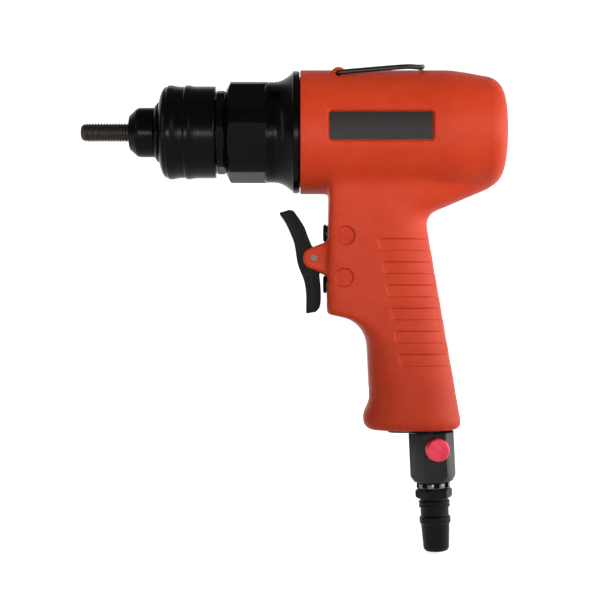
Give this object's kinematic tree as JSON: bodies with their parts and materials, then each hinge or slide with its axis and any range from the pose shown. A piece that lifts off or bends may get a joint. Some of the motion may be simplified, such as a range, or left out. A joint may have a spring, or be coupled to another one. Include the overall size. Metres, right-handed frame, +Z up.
{
  "type": "pneumatic rivet nut tool",
  "caption": "Pistol-form air tool that spins a threaded mandrel to set rivet nuts, with a rocking trigger, a hanging bail and an air plug under the handle.",
  "frame": {"origin": "middle of the mandrel's tip face, on the axis of the spindle", "axes": "-X out of the mandrel's tip, +X back along the barrel, +Z up from the handle towards the bail, +Y across the tool, away from the name plate's side"},
  "size_m": [0.1813, 0.053, 0.2088],
  "materials": {
    "orange_moulding": "matte",
    "blackened_steel": "satin",
    "dark_plated_steel": "satin",
    "bright_steel": "polished",
    "black_moulding": "satin",
    "bare_plate": "satin",
    "red_anodised": "polished",
    "bearing_bronze": "satin",
    "vane_composite": "matte",
    "seal_rubber": "matte",
    "silencer_felt": "matte"
  },
  "bodies": {
    "housing": {"housing": "orange_moulding", "name_plate": "bare_plate", "gear_case": "blackened_steel", "ring_gear": "dark_plated_steel", "lock_ring": "blackened_steel", "nose_sleeve": "blackened_steel", "anvil": "blackened_steel", "anvil_lock_nut": "blackened_steel", "thrust_washer": "bearing_bronze", "spindle_bearing": "bright_steel", "motor_cylinder": "bright_steel", "motor_front_plate": "dark_plated_steel", "motor_rear_plate": "dark_plated_steel", "rotor_front_bearing": "bright_steel", "rotor_rear_bearing": "bright_steel", "trigger_pin": "bright_steel", "upper_valve_bush": "bearing_bronze", "lower_valve_bush": "bearing_bronze", "upper_valve_spring": "bright_steel", "lower_valve_spring": "bright_steel", "inlet_body": "dark_plated_steel", "plug_ring": "bright_steel", "air_plug": "black_moulding", "exhaust_cover": "blackened_steel", "silencer_felt": "silencer_felt"},
    "spindle": {"spindle": "bright_steel", "drive_bit": "bright_steel", "mandrel": "dark_plated_steel"},
    "input_carrier": {"input_carrier": "bright_steel"},
    "rotor": {"rotor": "bright_steel", "vane_1": "vane_composite", "vane_2": "vane_composite", "vane_3": "vane_composite", "vane_4": "vane_composite", "vane_5": "vane_composite"},
    "output_planet_1": {"output_planet_1": "dark_plated_steel"},
    "output_planet_2": {"output_planet_2": "dark_plated_steel"},
    "output_planet_3": {"output_planet_3": "dark_plated_steel"},
    "input_planet_1": {"input_planet_1": "dark_plated_steel"},
    "input_planet_2": {"input_planet_2": "dark_plated_steel"},
    "input_planet_3": {"input_planet_3": "dark_plated_steel"},
    "trigger": {"trigger": "black_moulding"},
    "upper_plunger": {"upper_plunger": "blackened_steel"},
    "lower_plunger": {"lower_plunger": "blackened_steel"},
    "slide_valve": {"slide_valve": "red_anodised", "near_valve_seal": "seal_rubber", "far_valve_seal": "seal_rubber"},
    "bail": {"bail": "blackened_steel"}
  },
  "joints": [
    {"name": "spindle_spin", "type": "hinge", "parent": "housing", "child": "spindle", "pos_m": [0, 0, 0], "axis": [1, 0, 0], "continuous": true},
    {"name": "input_carrier_spin", "type": "hinge", "parent": "housing", "child": "input_carrier", "pos_m": [0.0831, 0, 0], "axis": [1, 0, 0], "continuous": true},
    {"name": "rotor_spin", "type": "hinge", "parent": "housing", "child": "rotor", "pos_m": [0.1314, 0, 0], "axis": [1, 0, 0], "continuous": true},
    {"name": "output_planet_1_spin", "type": "hinge", "parent": "spindle", "child": "output_planet_1", "pos_m": [0.07825, 0, -0.00877], "axis": [1, 0, 0], "continuous": true},
    {"name": "output_planet_2_spin", "type": "hinge", "parent": "spindle", "child": "output_planet_2", "pos_m": [0.07825, 0.0076, 0.00439], "axis": [1, 0, 0], "continuous": true},
    {"name": "output_planet_3_spin", "type": "hinge", "parent": "spindle", "child": "output_planet_3", "pos_m": [0.07825, -0.0076, 0.00439], "axis": [1, 0, 0], "continuous": true},
    {"name": "input_planet_1_spin", "type": "hinge", "parent": "input_carrier", "child": "input_planet_1", "pos_m": [0.08785, 0, -0.00877], "axis": [1, 0, 0], "continuous": true},
    {"name": "input_planet_2_spin", "type": "hinge", "parent": "input_carrier", "child": "input_planet_2", "pos_m": [0.08785, 0.0076, 0.00439], "axis": [1, 0, 0], "continuous": true},
    {"name": "input_planet_3_spin", "type": "hinge", "parent": "input_carrier", "child": "input_planet_3", "pos_m": [0.08785, -0.0076, 0.00439], "axis": [1, 0, 0], "continuous": true},
    {"name": "trigger_rock", "type": "hinge", "parent": "housing", "child": "trigger", "pos_m": [0.0998, 0, -0.0543], "axis": [0, 1, 0], "range_deg": [-3, 31]},
    {"name": "upper_plunger_press", "type": "slide", "parent": "housing", "child": "upper_plunger", "axis": [1, 0, 0], "range_m": [0, 0.0015], "stiffness_N_per_m": 2000, "deforming": ["upper_valve_spring"]},
    {"name": "lower_plunger_press", "type": "slide", "parent": "housing", "child": "lower_plunger", "axis": [1, 0, 0], "range_m": [0, 0.0015], "stiffness_N_per_m": 2000, "deforming": ["lower_valve_spring"]},
    {"name": "slide_valve_push", "type": "slide", "parent": "housing", "child": "slide_valve", "axis": [-0.1269, 0.9919, -0.0058], "range_m": [0, 0.004]},
    {"name": "bail_swing", "type": "hinge", "parent": "housing", "child": "bail", "pos_m": [0.1103, 0, 0.0234], "axis": [0, -1, 0], "range_deg": [0, 165]}
  ],
  "couplings": [
    {"joint": "input_carrier_spin", "follows": "spindle_spin", "ratio": 4.5},
    {"joint": "rotor_spin", "follows": "spindle_spin", "ratio": 20.25},
    {"joint": "output_planet_1_spin", "follows": "spindle_spin", "ratio": -2.8},
    {"joint": "output_planet_2_spin", "follows": "spindle_spin", "ratio": -2.8},
    {"joint": "output_planet_3_spin", "follows": "spindle_spin", "ratio": -2.8},
    {"joint": "input_planet_1_spin", "follows": "spindle_spin", "ratio": -12.6},
    {"joint": "input_planet_2_spin", "follows": "spindle_spin", "ratio": -12.6},
    {"joint": "input_planet_3_spin", "follows": "spindle_spin", "ratio": -12.6}
  ]
}
